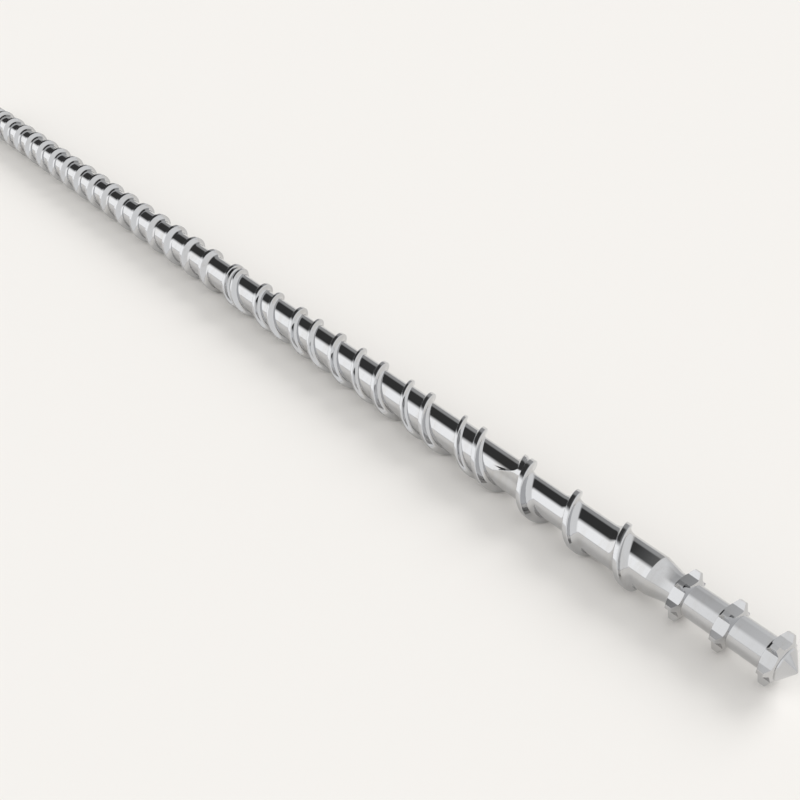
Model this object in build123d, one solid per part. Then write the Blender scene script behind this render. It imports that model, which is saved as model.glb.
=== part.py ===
from build123d import *
from math import cos, pi, radians, sin, tan
import os

# One-piece barrier screw for a single-screw plastics extruder.
# Millimetres. The axis is +X, from the drive end to the tip, and +Z is up.
# The origin is the centre of the shank's rear face.

# Driving dimensions
d = 65.0                        # outside diameter of the main flight
shankDiameter = 60.0
shankLength = 2.95 * d
shankTaper = 0.1 * d
taperRadius = 0.38 * d          # where the shank meets the first channel
endChamfer = 3.0

# Main flight. A turn number says how far round the screw a place is: whole numbers lie at
# crestAngle, measured about the axis from +Y, and turn 0 is at firstCrest.
firstCrest = 3.3 * d
crestAngle = radians(44.5)
mainStart = -0.2
mainEnd = 25.64
mainLand = 0.1 * d
runOut = 0.12                   # turns over which a flight rises from the root to full height
# The lead, as (turn, lead), changes evenly from each step to the next.
# Beyond the flight's ends it is small, so that the surface closes on a flat face.
leadSteps = [(-2, 0.1 * d), (mainStart - 0.01, 0.1 * d), (mainStart, d), (15, d), (17.35, 1.59 * d),
             (22.32, 1.59 * d), (22.62, 1.16 * d), (mainEnd, 1.16 * d), (mainEnd + 0.02, 0.17 * d),
             (28, 0.17 * d)]

# Barrier flight: rises beside the main flight and runs out beside its next turn
barrierStart = 15.8
barrierEnd = 22.3
barrierMeets = 15.5             # turn where its spiral, carried back, meets the main flight
barrierLead = 1.7 * d
barrierLand = 0.06 * d
barrierClearance = 0.5          # how much lower it stands than the main flight

# Channel roots, as (turn, radius)
solidsRoot = [(16.7, 0.37 * d), (22.3, 0.392 * d)]
meltRoot = [(16.7, 0.37 * d), (22.3, 0.34 * d), (23.0, 0.287 * d), (24.0, 0.345 * d), (24.55, 0.38 * d)]

# Flight sides: a sloped flank over a hollow foot
flankRun = 0.01 * d
footBend = 0.35                 # where the foot's corner lies, as a share of its width and height
# Main flight's foot, as (turn, height) and (turn, width)
footHeight = [(15, 0.11 * d), (16, 0.06 * d)]
footWidth = [(15, 0.15 * d), (16, 0.06 * d), (22.4, 0.06 * d), (23.0, 0.13 * d)]
barrierFoot = 0.05 * d
barrierFootHeight = 0.06 * d
least = 0.01 * d                # half the width a flight keeps where it has run out
leastFlank = least / 4

# Mixing section and tip, from the rear face
coneStart = 33.36 * d
coneEnd = 33.72 * d
coneRadius = 0.378 * d          # just inside the end face of the helical body
mixerRadius = 0.298 * d
ringCount = 3
firstRing = 33.942 * d
ringSpacing = 0.862 * d
ringRadius = 0.475 * d
ringCrest = 0.115 * d
ringBase = 0.28 * d
toothCount = 6
toothAngle = 177.5              # degrees from +Y to the centre of one tooth
slotFloor = 0.35 * d
slotWidth = 0.23 * d            # at its floor
slotFlare = tan(radians(47))
tipStart = 35.83 * d
tipHalfAngle = radians(55)
noseRadius = 0.05 * d

# Keyway for the gearbox sleeve and centre hole for the lathe
keyWidth = 18.0
keyDepth = 7.0
keyStart = 20.0
keyLength = 110.0
centreBore = 10.0
centreMouth = 20.0
centreDepth = 28.0
drillPoint = radians(60)        # half angle at the bottom of the hole
mouthAngle = radians(30)        # half angle of its mouth

mainRadius = d / 2
barrierRadius = mainRadius - barrierClearance
bodyStart = mainStart - 1       # turn where the surface's first period begins
bodyTurns = 27
pointsPerTurn = 24
turnStep = 0.0005               # for the slope at an edge's ends


def between(steps, turn):
    """Value at a turn, easing from each (turn, value) step to the next."""
    if turn <= steps[0][0]:
        return steps[0][1]
    for (a, low), (b, high) in zip(steps, steps[1:]):
        if turn < b:
            t = (turn - a) / (b - a)
            return low + (high - low) * t * t * (3 - 2 * t)
    return steps[-1][1]


def travel(turn):
    """The lead added up from the first step to this turn."""
    x = 0
    for (a, first), (b, last) in zip(leadSteps, leadSteps[1:]):
        if turn > a:
            part = min(turn, b) - a
            reached = first + (last - first) * part / (b - a)
            x += part * (first + reached) / 2
    return x


def mainX(turn):
    """Axial place of the main flight's middle."""
    return firstCrest + travel(turn) - travel(0)


def barrierX(turn):
    return mainX(barrierMeets) + (turn - barrierMeets) * barrierLead


def rise(turn, start, end):
    """How far a flight has risen: 0 beyond its ends, 1 along it."""
    return between([(start, 0), (start + runOut, 1)], turn) * between([(end - runOut, 1), (end, 0)], turn)


def behindRoot(turn):
    """Root radius on the drive side of the main flight."""
    merged = between([(barrierEnd + 0.8, 0), (barrierEnd + 1, 1)], turn)
    return between(solidsRoot, turn - 1) * (1 - merged) + between(meltRoot, turn - 1) * merged


def flightSide(x, land, top, root, foot, footRise, height, room, sign):
    """(x, radius) corners down one side of a flight, squeezed to fit the room beside it."""
    grown = (height + least / foot) / (1 + least / foot)
    squeeze = min(1, room / (flankRun + foot))
    edge = x + sign * (land / 2 * height + least)
    flank = edge + sign * (flankRun * grown + leastFlank) * squeeze
    deep = top - (top - root) * squeeze
    low = min(footRise, top - root) * height * squeeze
    width = sign * foot * grown * squeeze
    bend = (flank + footBend * width, deep + footBend * low)
    return [(edge, top), (flank, deep + low), bend, (flank + width, deep)]


def mainSide(turn, sign, room):
    root = behindRoot(turn) if sign < 0 else between(meltRoot, turn)
    up = rise(turn, mainStart, mainEnd)
    level = (behindRoot(turn) + between(meltRoot, turn)) / 2
    top = level + (mainRadius - level) * up
    width = between(footWidth, turn)
    return flightSide(mainX(turn), mainLand, top, root, width, between(footHeight, turn), up, room, sign)


def plainPeriod(turn):
    """Corners from the main flight's rear edge to the same edge one turn on, with no barrier."""
    rear = mainSide(turn, -1, d)[0]
    return [rear] + mainSide(turn, 1, d) + mainSide(turn + 1, -1, d)[:0:-1]


def barrierPeriod(turn):
    """The same with the barrier flight between, eased in and out at its ends."""
    plain = plainPeriod(turn)
    x = barrierX(turn)
    land = barrierLand / 2 + least
    gapBehind = x - land - plain[1][0]
    gapAhead = mainX(turn + 1) - mainLand / 2 - least - x - land
    mainFoot = between(footWidth, turn)
    share = barrierFoot / (barrierFoot + mainFoot)
    roomBehind = gapBehind - 3 * least
    roomAhead = gapAhead - 3 * least
    ahead = mainSide(turn, 1, max(least, roomBehind * (1 - share)))
    behind = mainSide(turn + 1, -1, max(least, roomAhead * (1 - share)))
    left = flightSide(x, barrierLand, barrierRadius, ahead[-1][1], barrierFoot, barrierFootHeight, 1,
                      max(least, roomBehind * share), -1)
    right = flightSide(x, barrierLand, barrierRadius, behind[-1][1], barrierFoot, barrierFootHeight, 1,
                       max(least, roomAhead * share), 1)
    full = [plain[0]] + ahead + left[::-1] + right + behind[:0:-1]
    (a, low), (b, high) = plain[4], plain[5]
    steps = len(left + right) + 1
    spread = [(a + (b - a) * i / steps, low + (high - low) * i / steps) for i in range(1, steps)]
    absent = plain[:5] + spread + plain[5:]
    up = rise(turn, barrierStart, barrierEnd)
    return [(p[0] + (q[0] - p[0]) * up, p[1] + (q[1] - p[1]) * up) for p, q in zip(absent, full)]


def periodAt(block):
    """The corner function for the period that starts block turns after the body's start."""
    first = bodyStart + block
    return barrierPeriod if barrierStart - 0.01 < first < barrierEnd else plainPeriod


def place(turn, x, r):
    angle = crestAngle + 2 * pi * turn
    return Vector(x, r * cos(angle), r * sin(angle))


def spiral(corner, start):
    """Smooth edge through one turn of corner(turn), an (x, radius) pair."""
    turns = [start + i / pointsPerTurn for i in range(pointsPerTurn + 1)]
    points = [place(turn, *corner(turn)) for turn in turns]
    slopes = []
    for turn in (turns[0], turns[-1]):
        before = place(turn - turnStep, *corner(turn - turnStep))
        after = place(turn + turnStep, *corner(turn + turnStep))
        slopes.append((after - before) / (2 * turnStep))
    return Edge.make_spline(points, tangents=slopes, parameters=turns, scale=False)


def helicalBody():
    """The flights and channels as one closed solid between two flat faces."""
    rows = []
    for block in range(bodyTurns):
        corners = periodAt(block)
        first = bodyStart + block
        count = len(corners(first))
        rows.append([spiral(lambda turn: corners(turn)[k], first) for k in range(count)])
    last = bodyStart + bodyTurns
    rows.append([spiral(lambda turn: plainPeriod(turn)[0], last)])
    faces = []
    for row, following in zip(rows, rows[1:]):
        for a, b in zip(row, row[1:] + following[:1]):
            faces.append(Face.make_surface_from_curves(a, b))
    rearRing = spiral(lambda turn: (shankLength, between(solidsRoot, bodyStart)), bodyStart)
    frontRing = spiral(lambda turn: (coneStart, between(meltRoot, last)), last)
    for ring, edge in ((rearRing, rows[0][0]), (frontRing, rows[-1][0])):
        halves = [(line.trim(0, 0.5), line.trim(0.5, 1)) for line in (ring, edge)]
        faces += [Face.make_surface_from_curves(a, b) for a, b in zip(*halves)]
        faces.append(Face(Wire(halves[0])))
    return Solid(Shell(faces))


def turned(points):
    """Solid of revolution about the axis from (x, radius) points."""
    outline = Polyline(*[(x, 0, r) for x, r in points], close=True)
    return revolve(make_face(outline), Axis.X, 360)


def shank():
    r = shankDiameter / 2
    bar = turned([(0, 0), (0, r - endChamfer), (endChamfer, r), (shankLength - shankTaper, r),
                  (shankLength, taperRadius), (shankLength, 0)])
    mouthDepth = (centreMouth - centreBore) / 2 / tan(mouthAngle)
    bottom = centreDepth + centreBore / 2 / tan(drillPoint)
    bar -= turned([(0, 0), (0, centreMouth / 2), (mouthDepth, centreBore / 2), (centreDepth, centreBore / 2),
                   (bottom, 0)])
    middle = keyStart + keyLength / 2
    seat = Pos(middle, 0, r - keyDepth) * extrude(SlotOverall(keyLength, keyWidth), 2 * keyDepth)
    return bar - seat


def mixingHead():
    centre = tipStart + mixerRadius / tan(tipHalfAngle) - noseRadius / sin(tipHalfAngle)
    turn = pi / 2 - tipHalfAngle
    shoulder = (centre + noseRadius * cos(turn), noseRadius * sin(turn))
    middle = (centre + noseRadius * cos(turn / 2), noseRadius * sin(turn / 2))
    end = (centre + noseRadius, 0)
    with BuildPart() as head:
        with BuildSketch(Plane.XZ):
            with BuildLine():
                ThreePointArc(shoulder, middle, end)
                Polyline(shoulder, (tipStart, mixerRadius), (coneEnd, mixerRadius),
                         (coneStart, coneRadius), (coneStart, 0), end)
            make_face()
        revolve(axis=Axis.X)
    solid = head.part
    for i in range(ringCount):
        solid += toothedRing(firstRing + i * ringSpacing)
    return solid


def toothedRing(x):
    ring = turned([(x - ringBase / 2, 0), (x - ringBase / 2, mixerRadius), (x - ringCrest / 2, ringRadius),
                   (x + ringCrest / 2, ringRadius), (x + ringBase / 2, mixerRadius), (x + ringBase / 2, 0)])
    high = ringRadius + slotWidth
    half = slotWidth / 2
    wide = half + slotFlare * (high - slotFloor)
    outline = Polyline((x - ringBase, -half, slotFloor), (x - ringBase, half, slotFloor),
                       (x - ringBase, wide, high), (x - ringBase, -wide, high), close=True)
    slot = extrude(make_face(outline), 2 * ringBase, dir=(1, 0, 0))
    for i in range(toothCount):
        ring -= Rot(360 * (i + 0.5) / toothCount + toothAngle - 90, 0, 0) * slot
    return ring


os.makedirs("parts", exist_ok=True)
screw = helicalBody() + shank() + mixingHead()
export_step(screw, "parts/screw.step")
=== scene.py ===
import bpy
import bmesh
from math import cos, sin, tan, pi, radians
from mathutils import Matrix, Vector


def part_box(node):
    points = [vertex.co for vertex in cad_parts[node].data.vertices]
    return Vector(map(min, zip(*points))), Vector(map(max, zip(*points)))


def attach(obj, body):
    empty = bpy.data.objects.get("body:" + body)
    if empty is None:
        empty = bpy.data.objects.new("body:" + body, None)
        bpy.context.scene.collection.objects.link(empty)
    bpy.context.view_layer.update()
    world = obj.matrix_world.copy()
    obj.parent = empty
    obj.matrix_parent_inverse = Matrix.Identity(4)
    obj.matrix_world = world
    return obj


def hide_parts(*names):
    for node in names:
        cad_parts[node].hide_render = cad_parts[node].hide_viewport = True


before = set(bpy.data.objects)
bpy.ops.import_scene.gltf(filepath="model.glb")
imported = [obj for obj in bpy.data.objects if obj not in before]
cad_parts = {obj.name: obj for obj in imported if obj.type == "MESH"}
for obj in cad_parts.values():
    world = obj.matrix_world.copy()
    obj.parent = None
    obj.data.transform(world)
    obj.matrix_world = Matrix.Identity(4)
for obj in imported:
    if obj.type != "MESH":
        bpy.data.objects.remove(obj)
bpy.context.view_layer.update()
screwLow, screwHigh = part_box("screw")
diameter = screwHigh.z - screwLow.z     # outside diameter of the flights, in metres
nominal = 65                            # the same in millimetres, for sizes given in millimetres
screwEnd = screwHigh.x
floorHeight = screwLow.z

# Lengths and radii in the layouts are in screw diameters unless a note says otherwise. A turn number says how
# far round the screw a place is: whole turns lie at crestAngle about the axis from +Y, and turn 0 is at
# firstCrest.
flightLayout = {
    "firstCrest": 3.3, "crestAngle": radians(44.5), "start": -0.2, "end": 25.64, "land": 0.1,
    "runOut": 0.12,                     # turns over which a flight rises from the root to full height
    # (turn, lead), (turn, radius) on each side of the barrier flight, and (turn, size) of the hollow foot
    "leads": [(-2, 0.1), (-0.21, 0.1), (-0.2, 1), (15, 1), (17.35, 1.59), (22.32, 1.59), (22.62, 1.16),
              (25.64, 1.16), (25.66, 0.17), (28, 0.17)],
    "solidsRoot": [(16.7, 0.37), (22.3, 0.392)],
    "meltRoot": [(16.7, 0.37), (22.3, 0.34), (23.0, 0.287), (24.0, 0.345), (24.55, 0.38)],
    "footHeight": [(15, 0.11), (16, 0.06)],
    "footWidth": [(15, 0.15), (16, 0.06), (22.4, 0.06), (23.0, 0.13)],
    "footBend": 0.35,                   # where the foot's middle lies, as a share of its width and height
    "footSteps": 8, "flankRun": 0.01,
    "rounding": 0.02, "mostOfFlank": 0.3, "mostOfLand": 0.4,    # a land's rounded edge, and what it may take
    "least": 0.01,                      # half the width that a flight keeps where it has run out
    "leastFall": 0.0001,
    "shankEnd": 2.95, "coneStart": 33.36,
    "bodyStart": -1.2, "bodyTurns": 27, "rowsPerTurn": 64,      # what the flighted body's mesh covers
    "sharpAngle": radians(60),
}
barrierLayout = {
    "start": 15.8, "end": 22.3, "lead": 1.7,
    "meets": 15.5,                      # turn where its spiral, carried back, meets the main flight
    "merges": (0.8, 1),                 # turns past its end between which the two channels become one
    "land": 0.06, "foot": 0.05, "footHeight": 0.06, "radius": 0.5 - 0.5 / nominal,
}


# Value at a turn, eased from each (turn, value) step to the next
def between(steps, turn):
    if turn <= steps[0][0]:
        return steps[0][1]
    for (start, first), (end, last) in zip(steps, steps[1:]):
        if turn < end:
            share = (turn - start) / (end - start)
            return first + (last - first) * share * share * (3 - 2 * share)
    return steps[-1][1]


# The lead added up from its first step to this turn
def travel(turn):
    leads = flightLayout["leads"]
    x = 0
    for (start, first), (end, last) in zip(leads, leads[1:]):
        if turn > start:
            part = min(turn, end) - start
            x += part * (first + first + (last - first) * part / (end - start)) / 2
    return x


def mainX(turn):
    return flightLayout["firstCrest"] + travel(turn) - travel(0)


def barrierX(turn):
    return mainX(barrierLayout["meets"]) + (turn - barrierLayout["meets"]) * barrierLayout["lead"]


# How far a flight has risen: 0 beyond its ends and 1 along it
def rise(turn, start, end):
    runOut = flightLayout["runOut"]
    return between([(start, 0), (start + runOut, 1)], turn) * between([(end - runOut, 1), (end, 0)], turn)


# Root radius on the tip's side of the main flight
def aheadRoot(turn):
    return between(flightLayout["meltRoot"], turn)


# Root radius on the drive side, which belongs to the pitch before
def behindRoot(turn):
    first, last = (barrierLayout["end"] + more for more in barrierLayout["merges"])
    merged = between([(first, 0), (last, 1)], turn)
    return between(flightLayout["solidsRoot"], turn - 1) * (1 - merged) + aheadRoot(turn - 1) * merged


def mixed(first, second, share):
    return (first[0] + (second[0] - first[0]) * share, first[1] + (second[1] - first[1]) * share)


def curved(first, control, second, share):
    return mixed(mixed(first, control, share), mixed(control, second, share), share)


# One side of a flight from its land down to the root: a rounded edge, a flank and a hollow foot, squeezed to
# fit the room beside it. height is how far the flight has risen, and sign is 1 on the tip's side.
def flightSide(x, land, top, root, foot, footRise, height, room, sign):
    flight = flightLayout
    least = flight["least"]
    grown = (height + least / foot) / (1 + least / foot)
    squeeze = min(1, room / (flight["flankRun"] + foot))
    edge = x + sign * (land / 2 * height + least)
    flank = edge + sign * (flight["flankRun"] * grown + least / 4) * squeeze
    deep = top - (top - root) * squeeze
    lift = min(footRise, top - root) * height * squeeze
    width = sign * foot * grown * squeeze
    corner, footTop, footEnd = (edge, top), (flank, deep + lift), (flank + width, deep)
    fall = max(top - deep - lift, flight["leastFall"])
    soft = min(flight["rounding"], flight["mostOfFlank"] * fall, flight["mostOfLand"] * abs(edge - x))
    onLand = (edge - sign * soft, top)
    onFlank = mixed(corner, footTop, soft / fall)
    bend = flight["footBend"] * 2 - 0.5     # the control point that brings the curve's middle to footBend
    control = (flank + width * bend, deep + lift * bend)
    steps = flight["footSteps"]
    hollow = [curved(footTop, control, footEnd, i / steps) for i in range(steps + 1)]
    return [onLand, curved(onLand, corner, onFlank, 0.5), onFlank] + hollow


def mainSide(turn, sign, room=1):
    flight = flightLayout
    root = behindRoot(turn) if sign < 0 else aheadRoot(turn)
    up = rise(turn, flight["start"], flight["end"])
    level = (behindRoot(turn) + aheadRoot(turn)) / 2
    top = level + (0.5 - level) * up
    return flightSide(mainX(turn), flight["land"], top, root, between(flight["footWidth"], turn),
                      between(flight["footHeight"], turn), up, room, sign)


def barrierSide(turn, sign, root, room):
    barrier = barrierLayout
    return flightSide(barrierX(turn), barrier["land"], barrier["radius"], root, barrier["foot"],
                      barrier["footHeight"], 1, room, sign)


# (x, radius) points across one pitch, from a land's rear edge to the next one's
def channelSection(turn):
    flight, barrier = flightLayout, barrierLayout
    start, ahead, behind = mainSide(turn, -1)[0], mainSide(turn, 1), mainSide(turn + 1, -1)
    count = 2 * len(ahead)
    channel = [mixed(ahead[-1], behind[-1], i / (count + 1)) for i in range(1, count + 1)]
    plain = ahead + channel + behind[:0:-1]
    up = rise(turn, barrier["start"], barrier["end"])
    if not up:
        return [start] + plain
    least = flight["least"]
    apart = 3 * least                   # what stays free between two feet
    corner = flight["land"] / 2 + least
    x, half = barrierX(turn), barrier["land"] / 2 + least
    roomBehind = x - half - mainX(turn) - corner - apart
    roomAhead = mainX(turn + 1) - corner - x - half - apart
    share = barrier["foot"] / (barrier["foot"] + between(flight["footWidth"], turn))
    nearAhead = mainSide(turn, 1, max(least, roomBehind * (1 - share)))
    nearBehind = mainSide(turn + 1, -1, max(least, roomAhead * (1 - share)))
    rear = barrierSide(turn, -1, nearAhead[-1][1], max(least, roomBehind * share))
    front = barrierSide(turn, 1, nearBehind[-1][1], max(least, roomAhead * share))
    divided = nearAhead + rear[::-1] + front + nearBehind[:0:-1]
    return [start] + [mixed(p, q, up) for p, q in zip(plain, divided)]


# Turned and flighted pieces are first laid out flat: X along the axis, Y in turns and Z the radius
def sheetVertex(mesh, x, turn, radius):
    return mesh.verts.new((x * diameter, turn, radius * diameter))


def addFaces(mesh, grid):
    for row, following in zip(grid, grid[1:]):
        for j in range(len(row) - 1):
            mesh.faces.new((row[j], following[j], following[j + 1], row[j + 1]))


def finishedMesh(mesh, name):
    result = bpy.data.meshes.new(name)
    mesh.to_mesh(result)
    mesh.free()
    return result


def flightSheet():
    flight = flightLayout
    perTurn = flight["rowsPerTurn"]
    rows = flight["bodyTurns"] * perTurn
    firstTurn = flight["bodyStart"]
    lastTurn = firstTurn + flight["bodyTurns"]
    mesh = bmesh.new()
    grid = []
    for i in range(rows + 1):
        turn = firstTurn + i / perTurn
        section = channelSection(turn) + [mainSide(turn + 1, -1)[0]]
        grid.append([sheetVertex(mesh, x, turn, radius) for x, radius in section])
    addFaces(mesh, grid)

    # a collar closes each end, from a flat ring to the spiral edge, with a wider face where the spiral steps
    turns = [i / perTurn for i in range(perTurn + 1)]
    rearRadius, frontRadius = flight["solidsRoot"][0][1], flight["meltRoot"][-1][1]
    rear = [sheetVertex(mesh, flight["shankEnd"], firstTurn + t, rearRadius) for t in turns]
    front = [sheetVertex(mesh, flight["coneStart"], lastTurn - 1 + t, frontRadius) for t in turns]
    rearStep = [mesh.verts.new((v.co.x, firstTurn + 1, v.co.z)) for v in grid[0][:-1]]
    frontStep = [mesh.verts.new((v.co.x, lastTurn - 1, v.co.z)) for v in grid[-1][1:]]
    for i in range(perTurn):
        last = rows - perTurn + i
        step = rearStep if i == perTurn - 1 else []
        mesh.faces.new([rear[i], rear[i + 1]] + step + [grid[i + 1][0], grid[i][0]])
        step = frontStep[::-1] if i == 0 else []
        mesh.faces.new([grid[last][-1], grid[last + 1][-1], front[i + 1], front[i]] + step)
    mesh.faces.new(rear[:0:-1])
    mesh.faces.new(front[1:])
    return finishedMesh(mesh, "flightSheet")


# A plain turned piece: the same (x, radius) section all round
def turnedSheet(section, steps, name):
    mesh = bmesh.new()
    grid = [[sheetVertex(mesh, x, i / steps, radius) for x, radius in section] for i in range(steps + 1)]
    addFaces(mesh, grid)
    return finishedMesh(mesh, name)


def addNode(tree, kind, inputs=(), **settings):
    node = tree.nodes.new(kind)
    for name, value in settings.items():
        setattr(node, name, value)
    for name, value in dict(inputs).items():
        if isinstance(value, bpy.types.NodeSocket):
            tree.links.new(value, node.inputs[name])
        else:
            node.inputs[name].default_value = value
    return node


def nodeMath(tree, operation, first, second=0.0, third=0.0):
    return addNode(tree, "ShaderNodeMath", {0: first, 1: second, 2: third}, operation=operation).outputs[0]


# Inputs 6 and 7 and output 2 of a mix node are its colours
def blended(tree, share, first, second):
    both = addNode(tree, "ShaderNodeMix", data_type="RGBA")
    tree.links.new(share, both.inputs[0])
    for socket, colour in ((both.inputs[6], first), (both.inputs[7], second)):
        if isinstance(colour, tuple):
            socket.default_value = (*colour, 1)
        else:
            tree.links.new(colour, socket)
    return both.outputs[2]


def newGeometryTree(name, inputs):
    tree = bpy.data.node_groups.new(name, "GeometryNodeTree")
    for socketName, kind in {"Geometry": "Geometry", **inputs}.items():
        tree.interface.new_socket(name=socketName, in_out="INPUT", socket_type="NodeSocket" + kind)
    tree.interface.new_socket(name="Geometry", in_out="OUTPUT", socket_type="NodeSocketGeometry")
    return tree, tree.nodes.new("NodeGroupInput").outputs, tree.nodes.new("NodeGroupOutput").inputs


def runTree(piece, tree, values):
    modifier = piece.modifiers.new(tree.name, "NODES")
    modifier.node_group = tree
    for item in tree.interface.items_tree:
        if item.item_type == "SOCKET" and item.in_out == "INPUT" and item.name in values:
            modifier[item.identifier] = values[item.name]


# Turns the evaluated result of every modifier into the piece's own plain mesh
def settle(piece):
    bpy.context.view_layer.update()
    graph = bpy.context.evaluated_depsgraph_get()
    mesh = bpy.data.meshes.new_from_object(piece.evaluated_get(graph), preserve_all_data_layers=True,
                                           depsgraph=graph)
    piece.modifiers.clear()
    piece.data = mesh
    mesh.name = piece.name


def newObject(name, mesh):
    piece = bpy.data.objects.new(name, mesh)
    bpy.context.scene.collection.objects.link(piece)
    return piece


# Every geometry tree ends here: smooth faces, sharp edges past Sharp Angle, real geometry and its finish
def closeTree(tree, geometry, given, result):
    smooth = addNode(tree, "GeometryNodeSetShadeSmooth", {"Geometry": geometry, "Shade Smooth": True},
                     domain="FACE")
    edgeAngle = tree.nodes.new("GeometryNodeInputMeshEdgeAngle").outputs["Unsigned Angle"]
    sharp = addNode(tree, "FunctionNodeCompare", {0: edgeAngle, 1: given["Sharp Angle"]},
                    operation="GREATER_THAN")
    split = addNode(tree, "GeometryNodeSetShadeSmooth", {
        "Geometry": smooth.outputs[0], "Selection": sharp.outputs[0], "Shade Smooth": False}, domain="EDGE")
    real = addNode(tree, "GeometryNodeRealizeInstances", {"Geometry": split.outputs[0]})
    dressed = addNode(tree, "GeometryNodeSetMaterial", {
        "Geometry": real.outputs[0], "Material": given["Finish"]})
    tree.links.new(dressed.outputs[0], result["Geometry"])


# X, Y and Z of each point
def pointPlace(tree):
    position = tree.nodes.new("GeometryNodeInputPosition").outputs[0]
    return addNode(tree, "ShaderNodeSeparateXYZ", {0: position}).outputs


# Rolls a flat layout round the screw's axis and welds it where it meets itself
def newRollTree():
    tree, given, result = newGeometryTree("rollAboutAxis", {
        "Start Angle": "Float", "Weld": "Float", "Sharp Angle": "Float", "Finish": "Material"})
    place = pointPlace(tree)
    share = nodeMath(tree, "FRACT", place["Y"])
    angle = nodeMath(tree, "ADD", nodeMath(tree, "MULTIPLY", share, 2 * pi), given["Start Angle"])
    rolled = addNode(tree, "ShaderNodeCombineXYZ", {
        "X": place["X"],
        "Y": nodeMath(tree, "MULTIPLY", place["Z"], nodeMath(tree, "COSINE", angle)),
        "Z": nodeMath(tree, "MULTIPLY", place["Z"], nodeMath(tree, "SINE", angle))})
    moved = addNode(tree, "GeometryNodeSetPosition", {
        "Geometry": given["Geometry"], "Position": rolled.outputs[0]})
    welded = addNode(tree, "GeometryNodeMergeByDistance", {
        "Geometry": moved.outputs[0], "Distance": given["Weld"]})
    closeTree(tree, welded.outputs[0], given, result)
    return tree


# Cuts flow slots in one plain ring and sets copies of it along the shaft. The cutter is a block that widens
# outwards by the flare, and it stands once at each slot's angle.
def newRingTree():
    tree, given, result = newGeometryTree("slottedRings", {
        "Rings": "Int", "First Ring": "Float", "Spacing": "Float", "Slots": "Int", "Slot Angle": "Float",
        "Slot Floor": "Float", "Slot Width": "Float", "Slot Flare": "Float", "Cut Length": "Float",
        "Cut Height": "Float", "Sharp Angle": "Float", "Finish": "Material"})
    size = addNode(tree, "ShaderNodeCombineXYZ", {
        "X": given["Cut Length"], "Y": given["Slot Width"], "Z": given["Cut Height"]})
    block = addNode(tree, "GeometryNodeMeshCube", {"Size": size.outputs[0]})
    place = pointPlace(tree)
    above = nodeMath(tree, "ADD", place["Z"], nodeMath(tree, "DIVIDE", given["Cut Height"], 2.0))
    widened = nodeMath(tree, "MULTIPLY_ADD", nodeMath(tree, "SIGN", place["Y"]),
                       nodeMath(tree, "MULTIPLY", above, given["Slot Flare"]), place["Y"])
    shaped = addNode(tree, "ShaderNodeCombineXYZ", {
        "X": place["X"], "Y": widened, "Z": nodeMath(tree, "ADD", above, given["Slot Floor"])})
    cutter = addNode(tree, "GeometryNodeSetPosition", {
        "Geometry": block.outputs["Mesh"], "Position": shaped.outputs[0]})
    spots = addNode(tree, "GeometryNodeMeshLine", {"Count": given["Slots"], "Offset": (0.0, 0.0, 0.0)})
    index = tree.nodes.new("GeometryNodeInputIndex").outputs[0]
    step = nodeMath(tree, "DIVIDE", 2 * pi, given["Slots"])
    turn = nodeMath(tree, "MULTIPLY_ADD", index, step, given["Slot Angle"])
    spin = addNode(tree, "ShaderNodeCombineXYZ", {"X": turn})
    cutters = addNode(tree, "GeometryNodeInstanceOnPoints", {
        "Points": spots.outputs[0], "Instance": cutter.outputs[0], "Rotation": spin.outputs[0]})
    whole = addNode(tree, "GeometryNodeRealizeInstances", {"Geometry": cutters.outputs[0]})
    slotted = addNode(tree, "GeometryNodeMeshBoolean", {
        "Mesh 1": given["Geometry"], "Mesh 2": whole.outputs[0]}, operation="DIFFERENCE", solver="EXACT")
    firstPlace = addNode(tree, "ShaderNodeCombineXYZ", {"X": given["First Ring"]})
    pace = addNode(tree, "ShaderNodeCombineXYZ", {"X": given["Spacing"]})
    line = addNode(tree, "GeometryNodeMeshLine", {
        "Count": given["Rings"], "Start Location": firstPlace.outputs[0], "Offset": pace.outputs[0]})
    rings = addNode(tree, "GeometryNodeInstanceOnPoints", {
        "Points": line.outputs[0], "Instance": slotted.outputs["Mesh"]})
    real = addNode(tree, "GeometryNodeRealizeInstances", {"Geometry": rings.outputs[0]})
    closeTree(tree, real.outputs[0], given, result)
    return tree


# Sizes and depths here are in metres. Noise values go straight to the noise nodes.
finishLayout = {
    "steelColour": (0.57, 0.575, 0.585), "filmColour": (0.5, 0.485, 0.465), "filmShare": 0.5,
    "lineSpacing": 0.0004, "lineRun": 12.0, "lineDepth": 0.000002,
    "lineNoise": {"Detail": 4.0, "Roughness": 0.6},
    "waveSize": 0.035, "waveDepth": 0.00006, "waveNoise": {"Detail": 1.0, "Roughness": 0.4},
    "filmSize": 0.05, "filmStretch": (2.6, 1.0, 1.0), "filmLimits": (0.46, 0.72),
    "filmNoise": {"Detail": 5.0, "Roughness": 0.62, "Distortion": 0.4},
    # The second pair of radii marks the flights' outer edges, where the darker film is left off as a painted
    # highlight
    "landRadius": (0.4945, 0.4985), "paintedEdgeHighlightRadius": (0.468, 0.492),     # in screw diameters
}


def newShaderGroup(name, inputs, output):
    group = bpy.data.node_groups.new(name, "ShaderNodeTree")
    for socketName, kind in inputs.items():
        group.interface.new_socket(name=socketName, in_out="INPUT", socket_type="NodeSocket" + kind)
    group.interface.new_socket(name=output, in_out="OUTPUT", socket_type="NodeSocketFloat")
    return group, group.nodes.new("NodeGroupInput").outputs, group.nodes.new("NodeGroupOutput").inputs


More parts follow.
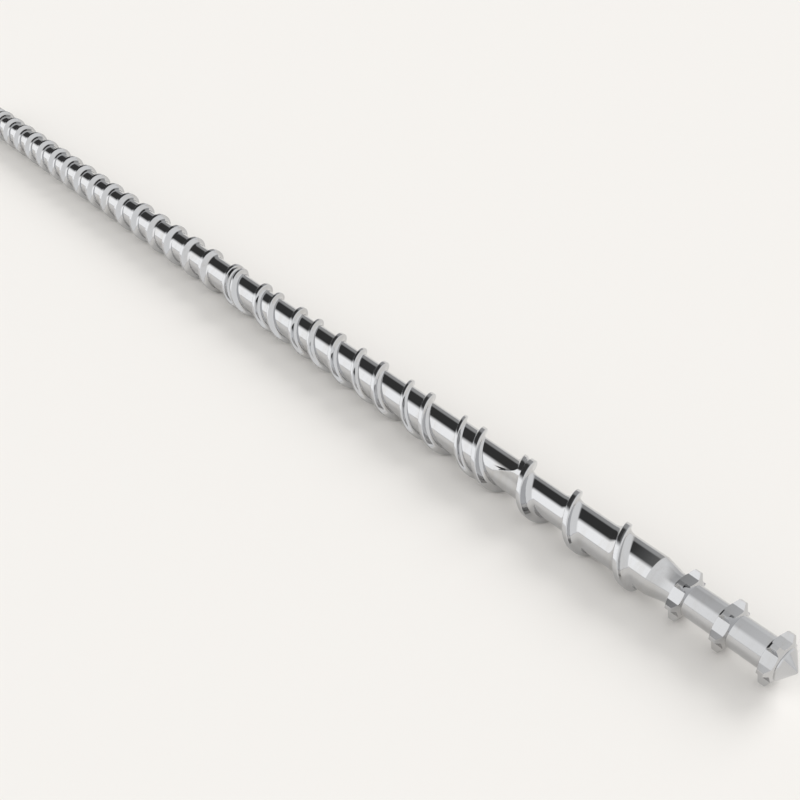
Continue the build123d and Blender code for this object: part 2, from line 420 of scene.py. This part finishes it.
# Fine lines round the axis, left by the lathe and the polishing belt
def machiningLines():
    group, given, result = newShaderGroup("machiningLines", {
        "Place": "Vector", "Spacing": "Float", "Run": "Float"}, "Lines")
    along = nodeMath(group, "DIVIDE", 1.0, given["Spacing"])
    stretch = addNode(group, "ShaderNodeCombineXYZ", {"X": along, "Y": given["Run"], "Z": given["Run"]})
    drawn = addNode(group, "ShaderNodeVectorMath", {0: given["Place"], 1: stretch.outputs[0]},
                    operation="MULTIPLY")
    lines = addNode(group, "ShaderNodeTexNoise", {
        "Vector": drawn.outputs[0], "Scale": 1.0, **finishLayout["lineNoise"]})
    group.links.new(lines.outputs["Fac"], result["Lines"])
    return group


# Slow waves left by hand polishing
def polishWaves():
    group, given, result = newShaderGroup("polishWaves", {"Place": "Vector", "Size": "Float"}, "Waves")
    waves = addNode(group, "ShaderNodeTexNoise", {
        "Vector": given["Place"], "Scale": nodeMath(group, "DIVIDE", 1.0, given["Size"]),
        **finishLayout["waveNoise"]})
    group.links.new(waves.outputs["Fac"], result["Waves"])
    return group


# Thin oil film and hand marks, drawn out round the axis
def oilFilm():
    group, given, result = newShaderGroup("oilFilm", {"Place": "Vector", "Size": "Float"}, "Film")
    stretched = addNode(group, "ShaderNodeVectorMath", {0: given["Place"], 1: finishLayout["filmStretch"]},
                        operation="MULTIPLY")
    clouds = addNode(group, "ShaderNodeTexNoise", {
        "Vector": stretched.outputs[0], "Scale": nodeMath(group, "DIVIDE", 1.0, given["Size"]),
        **finishLayout["filmNoise"]})
    least, most = finishLayout["filmLimits"]
    marks = addNode(group, "ShaderNodeMapRange", {
        "Value": clouds.outputs["Fac"], "From Min": least, "From Max": most}, interpolation_type="SMOOTHSTEP")
    group.links.new(marks.outputs[0], result["Film"])
    return group


# How far out from the screw's axis a point lies, as a mask that is 0 at Inner and 1 at Outer
def outerMask():
    group, given, result = newShaderGroup("outerMask", {
        "Place": "Vector", "Inner": "Float", "Outer": "Float"}, "Mask")
    flat = addNode(group, "ShaderNodeVectorMath", {0: given["Place"], 1: (0.0, 1.0, 1.0)},
                   operation="MULTIPLY")
    radius = addNode(group, "ShaderNodeVectorMath", {0: flat.outputs[0]}, operation="LENGTH")
    mask = addNode(group, "ShaderNodeMapRange", {
        "Value": radius.outputs["Value"], "From Min": given["Inner"], "From Max": given["Outer"]},
        interpolation_type="SMOOTHSTEP")
    group.links.new(mask.outputs[0], result["Mask"])
    return group


finishGroups = {"lines": machiningLines(), "waves": polishWaves(), "film": oilFilm(), "outer": outerMask()}


def placed(tree, key, inputs):
    return addNode(tree, "ShaderNodeGroup", inputs, node_tree=finishGroups[key]).outputs[0]


# How rough the metal is, what lines, film and ground lands add to that, and how coarse, deep and wavy it is
steelLooks = {
    "mirrorPolishedSteel": {
        "roughness": 0.025, "lineRoughness": 0.035, "filmRoughness": 0.06, "landRoughness": 0.08,
        "coarseness": 1.0, "depth": 0.6, "waviness": 1.0},
    "milledPolishedSteel": {
        "roughness": 0.035, "lineRoughness": 0.035, "filmRoughness": 0.06, "landRoughness": 0.05,
        "coarseness": 0.8, "depth": 0.7, "waviness": 0.35},
    "turnedSteel": {
        "roughness": 0.16, "lineRoughness": 0.1, "filmRoughness": 0.08, "landRoughness": 0.0,
        "coarseness": 1.6, "depth": 2.2, "waviness": 0.3},
}


def steelMaterial(name, look):
    finish = finishLayout
    material = bpy.data.materials.new(name)
    material.use_nodes = True
    tree = material.node_tree
    surface = tree.nodes["Principled BSDF"]
    surface.inputs["Metallic"].default_value = 1
    place = tree.nodes.new("ShaderNodeTexCoord").outputs["Object"]
    lines = placed(tree, "lines", {
        "Place": place, "Spacing": finish["lineSpacing"] * look["coarseness"], "Run": finish["lineRun"]})
    waves = placed(tree, "waves", {"Place": place, "Size": finish["waveSize"]})
    film = placed(tree, "film", {"Place": place, "Size": finish["filmSize"]})
    land, corner = (
        placed(tree, "outer", {"Place": place, "Inner": inner * diameter, "Outer": outer * diameter})
        for inner, outer in (finish["landRadius"], finish["paintedEdgeHighlightRadius"]))

    # the film is kept off the flights' outer edges, which leaves them lighter as a painted highlight, and the
    # ground lands shine a little less
    filmClearOfPaintedHighlight = nodeMath(tree, "MULTIPLY", film, nodeMath(tree, "SUBTRACT", 1.0, corner))
    colour = blended(tree, nodeMath(tree, "MULTIPLY", filmClearOfPaintedHighlight, finish["filmShare"]), finish["steelColour"],
                     finish["filmColour"])
    tree.links.new(colour, surface.inputs["Base Color"])
    rough = nodeMath(tree, "MULTIPLY_ADD", filmClearOfPaintedHighlight, look["filmRoughness"], look["roughness"])
    streaked = nodeMath(tree, "MULTIPLY_ADD", lines, look["lineRoughness"], rough)
    ground = nodeMath(tree, "MULTIPLY_ADD", land, look["landRoughness"], streaked)
    tree.links.new(ground, surface.inputs["Roughness"])
    fine = nodeMath(tree, "MULTIPLY", lines, finish["lineDepth"] * look["coarseness"] * look["depth"])
    height = nodeMath(tree, "MULTIPLY_ADD", waves, finish["waveDepth"] * look["waviness"], fine)
    bump = addNode(tree, "ShaderNodeBump", {"Height": height, "Strength": 1.0, "Distance": 1.0})
    tree.links.new(bump.outputs["Normal"], surface.inputs["Normal"])
    return material


steels = {name: steelMaterial(name, look) for name, look in steelLooks.items()}
rollTree = newRollTree()
print("finishes", ", ".join(steels))

# Broken edges, in metres, with the big faces' normals kept true
edgeLayout = {
    "width": 0.0004, "segments": 2, "from": radians(35), "sharpAngle": radians(32), "weld": 0.000003,
}


def roll(piece, finish, startAngle=0.0, sharpAngle=edgeLayout["sharpAngle"]):
    runTree(piece, rollTree, {
        "Start Angle": startAngle, "Weld": edgeLayout["weld"], "Sharp Angle": sharpAngle,
        "Finish": steels[finish]})


def softEdges(piece):
    bevel = piece.modifiers.new("edgeBreak", "BEVEL")
    bevel.width = edgeLayout["width"]
    bevel.segments = edgeLayout["segments"]
    bevel.limit_method = "ANGLE"
    bevel.angle_limit = edgeLayout["from"]
    bevel.use_clamp_overlap = True
    piece.modifiers.new("faceNormals", "WEIGHTED_NORMAL").keep_sharp = True


body = newObject("flightedBody", flightSheet())
roll(body, "mirrorPolishedSteel", flightLayout["crestAngle"], flightLayout["sharpAngle"])
body.modifiers.new("faceNormals", "WEIGHTED_NORMAL").keep_sharp = True
settle(body)
print("flighted body", len(body.data.polygons), "faces")

shankLayout = {
    "radius": 30 / nominal, "chamfer": 3 / nominal, "taper": 0.1, "taperRadius": 0.38,
    "steps": 160, "spans": 12,
    "bore": 10 / nominal, "mouth": 20 / nominal, "boreDepth": 28 / nominal, "drillPoint": radians(60),
    "mouthAngle": radians(30), "keyWidth": 18 / nominal, "keyDepth": 7 / nominal, "keyStart": 20 / nominal,
    "keyLength": 110 / nominal, "keyArcSteps": 24,
}


# From the bottom of the centre hole, over the rear face and along the outside to the first channel
def shankSection():
    layout = shankLayout
    end, radius, chamfer = flightLayout["shankEnd"], layout["radius"], layout["chamfer"]
    mouthDepth = (layout["mouth"] - layout["bore"]) / 2 / tan(layout["mouthAngle"])
    bottom = layout["boreDepth"] + layout["bore"] / 2 / tan(layout["drillPoint"])
    spans, straight = layout["spans"], end - layout["taper"] - chamfer
    outside = [(chamfer + straight * i / spans, radius) for i in range(spans + 1)]
    return [(bottom, 0), (layout["boreDepth"], layout["bore"] / 2), (mouthDepth, layout["bore"] / 2),
            (0, layout["mouth"] / 2), (0, radius - chamfer), *outside, (end, layout["taperRadius"]), (end, 0)]


# A block with round ends that stands across the shank's surface
def keywayCutter():
    layout = shankLayout
    half, depth = layout["keyWidth"] / 2 * diameter, layout["keyDepth"] * diameter
    bottom, top = layout["radius"] * diameter - depth, layout["radius"] * diameter + depth
    rearX = layout["keyStart"] * diameter + half
    frontX = (layout["keyStart"] + layout["keyLength"]) * diameter - half
    steps = layout["keyArcSteps"]
    angles = [-pi / 2 + pi * i / steps for i in range(steps + 1)]
    outline = [(x + side * half * cos(angle), side * half * sin(angle))
               for x, side in ((frontX, 1), (rearX, -1)) for angle in angles]
    mesh = bmesh.new()
    lower = [mesh.verts.new((x, y, bottom)) for x, y in outline]
    upper = [mesh.verts.new((x, y, top)) for x, y in outline]
    mesh.faces.new(lower[::-1])
    mesh.faces.new(upper)
    for i in range(len(outline)):
        j = (i + 1) % len(outline)
        mesh.faces.new((lower[i], lower[j], upper[j], upper[i]))
    bmesh.ops.recalc_face_normals(mesh, faces=mesh.faces)
    return newObject("keywayCutter", finishedMesh(mesh, "keywayCutter"))


# Rolled half a step on, so that cutting the keyway leaves no tiny faces
shank = newObject("shank", turnedSheet(shankSection(), shankLayout["steps"], "shank"))
roll(shank, "turnedSteel", pi / shankLayout["steps"])
settle(shank)
cutter = keywayCutter()
keyway = shank.modifiers.new("keyway", "BOOLEAN")
keyway.object = cutter
keyway.operation = "DIFFERENCE"
keyway.solver = "EXACT"
softEdges(shank)
settle(shank)
bpy.data.objects.remove(cutter)
print("shank", len(shank.data.polygons), "faces")

mixerLayout = {
    "coneEnd": 33.72, "coneRadius": 0.3795, "shaftRadius": 0.298, "steps": 128,
    "overlap": 0.1, "sunk": 0.005,          # how the shaft's hidden end sits inside the flighted body
    "tipStart": 35.83, "tipHalfAngle": radians(55), "noseRadius": 0.05, "noseSteps": 8,
    "rings": 3, "firstRing": 33.942, "ringSpacing": 0.862, "ringRadius": 0.475, "ringCrest": 0.115,
    "ringBase": 0.28, "ringInside": 0.02,
    "slots": 6, "slotFloor": 0.35, "slotWidth": 0.23, "slotFlare": tan(radians(47)), "slotCut": 0.15,
    "slotAngle": radians(87.5),             # of one slot's middle, about the axis from +Y
}


def mixerSection():
    mixer = mixerLayout
    coneStart, halfAngle, nose = flightLayout["coneStart"], mixer["tipHalfAngle"], mixer["noseRadius"]
    centre = mixer["tipStart"] + mixer["shaftRadius"] / tan(halfAngle) - nose / sin(halfAngle)
    steps, swing = mixer["noseSteps"], pi / 2 - halfAngle
    angles = [swing * (1 - i / steps) for i in range(steps)]
    rounded = [(centre + nose * cos(angle), nose * sin(angle)) for angle in angles]
    hidden = coneStart - mixer["overlap"]
    return [(hidden, 0), (hidden, mixer["coneRadius"] - mixer["sunk"]), (coneStart, mixer["coneRadius"]),
            (mixer["coneEnd"], mixer["shaftRadius"]), (mixer["tipStart"], mixer["shaftRadius"]),
            *rounded, (centre + nose, 0)]


def ringSection():
    mixer = mixerLayout
    base, crest = mixer["ringBase"] / 2, mixer["ringCrest"] / 2
    inner, foot, outer = mixer["shaftRadius"] - mixer["ringInside"], mixer["shaftRadius"], mixer["ringRadius"]
    return [(-base, inner), (-base, foot), (-crest, outer), (crest, outer), (base, foot), (base, inner),
            (-base, inner)]


shaft = newObject("mixingShaft", turnedSheet(mixerSection(), mixerLayout["steps"], "mixingShaft"))
roll(shaft, "milledPolishedSteel")
softEdges(shaft)
settle(shaft)

rings = newObject("mixingRings", turnedSheet(ringSection(), mixerLayout["steps"], "mixingRings"))
roll(rings, "milledPolishedSteel")
settle(rings)
runTree(rings, newRingTree(), {
    "Rings": mixerLayout["rings"], "First Ring": mixerLayout["firstRing"] * diameter,
    "Spacing": mixerLayout["ringSpacing"] * diameter, "Slots": mixerLayout["slots"],
    "Slot Angle": mixerLayout["slotAngle"] - pi / 2, "Slot Floor": mixerLayout["slotFloor"] * diameter,
    "Slot Width": mixerLayout["slotWidth"] * diameter, "Slot Flare": mixerLayout["slotFlare"],
    "Cut Length": 2 * mixerLayout["ringBase"] * diameter, "Cut Height": mixerLayout["slotCut"] * diameter,
    "Sharp Angle": edgeLayout["sharpAngle"], "Finish": steels["milledPolishedSteel"]})
softEdges(rings)
settle(rings)
print("mixing section", len(shaft.data.polygons) + len(rings.data.polygons), "faces")

for piece in (body, shank, shaft, rings):
    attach(piece, "root")
    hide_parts("screw")

# Brightness of the studio at angles over the screw, from the far horizon to the near one: a dark flag hangs
# above it, a long soft box stands on the near side, and the end beyond the tip is open
studioLayout = {
    "overScrew": [(0, 0.4), (35, 0.4), (45, 0.05), (105, 0.05), (125, 1.4), (180, 1.4)],
    "openEnd": 1.0, "openShare": (0.2, 0.4),        # as the part of a direction that points to the drive end
    "horizon": 0.8, "horizonRise": (0.02, 0.07),    # as the part of a direction that points up
    "sun": 1.4, "sunSoftness": radians(35), "sunTilt": radians(55),
    "floorColour": (0.84, 0.82, 0.79, 1), "floorHalfSize": 30, "floorSquares": 8,
}


def paleFloor():
    studio = studioLayout
    mesh = bmesh.new()
    underScrew = Matrix.Translation((screwEnd / 2, 0, floorHeight))
    bmesh.ops.create_grid(mesh, x_segments=studio["floorSquares"], y_segments=studio["floorSquares"],
                          size=studio["floorHalfSize"], matrix=underScrew)
    floor = newObject("floor", finishedMesh(mesh, "floor"))
    material = bpy.data.materials.new("paleFloor")
    material.use_nodes = True
    surface = material.node_tree.nodes["Principled BSDF"].inputs
    surface["Base Color"].default_value = studio["floorColour"]
    surface["Roughness"].default_value = 1
    surface["Specular IOR Level"].default_value = 0
    floor.data.materials.append(material)
    return floor


def grey(level):
    return (level, level, level)


def brightnessRamp(tree, across, steps):
    ramp = addNode(tree, "ShaderNodeValToRGB", {"Fac": across})
    stops = ramp.color_ramp.elements
    stops.remove(stops[1])
    for i, (angle, brightness) in enumerate(steps):
        stop = stops[0] if i == 0 else stops.new(angle / 180)
        stop.position = angle / 180
        stop.color = (*grey(brightness), 1)
    return ramp.outputs["Color"]


# Plain neutral light, with a pale strip all round the horizon
def studioWorld():
    studio = studioLayout
    world = bpy.data.worlds.new("studio")
    world.use_nodes = True
    tree = world.node_tree
    direction = tree.nodes.new("ShaderNodeTexCoord").outputs["Generated"]
    way = addNode(tree, "ShaderNodeSeparateXYZ", {0: direction}).outputs
    across = nodeMath(tree, "DIVIDE", nodeMath(tree, "ARCTAN2", way["Z"], way["Y"]), pi)
    along = nodeMath(tree, "MULTIPLY", way["X"], -1.0)
    near, far = studio["openShare"]
    beside = addNode(tree, "ShaderNodeMapRange", {"Value": along, "From Min": near, "From Max": far})
    colour = blended(tree, beside.outputs[0], grey(studio["openEnd"]),
                     brightnessRamp(tree, across, studio["overScrew"]))
    low, high = studio["horizonRise"]
    lifted = addNode(tree, "ShaderNodeMapRange", {"Value": way["Z"], "From Min": low, "From Max": high})
    colour = blended(tree, lifted.outputs[0], grey(studio["horizon"]), colour)
    tree.links.new(colour, tree.nodes["Background"].inputs["Color"])
    return world


def softSun():
    data = bpy.data.lights.new("softSun", "SUN")
    data.energy = studioLayout["sun"]
    data.angle = studioLayout["sunSoftness"]
    sun = newObject("softSun", data)
    sun.rotation_euler = (-studioLayout["sunTilt"], 0, 0)
    sun.visible_glossy = False


paleFloor()
bpy.context.scene.world = studioWorld()
softSun()

# The camera's place is in screw diameters, and its heading is about +Z from +X
cameraLayout = {
    "place": (39.7, -10.85, 11.75), "heading": radians(140.69), "tilt": radians(-34.55), "lens": 43.25,
}


def newCamera():
    layout = cameraLayout
    heading, tilt = layout["heading"], layout["tilt"]
    data = bpy.data.cameras.new("camera")
    data.lens = layout["lens"]
    camera = newObject("camera", data)
    camera.location = Vector(layout["place"]) * diameter
    sight = Vector((cos(tilt) * cos(heading), cos(tilt) * sin(heading), sin(tilt)))
    camera.rotation_mode = "QUATERNION"
    camera.rotation_quaternion = sight.to_track_quat("-Z", "Y")
    return camera


bpy.context.scene.camera = newCamera()
bpy.context.scene.view_settings.view_transform = "Standard"
print("studio and camera")
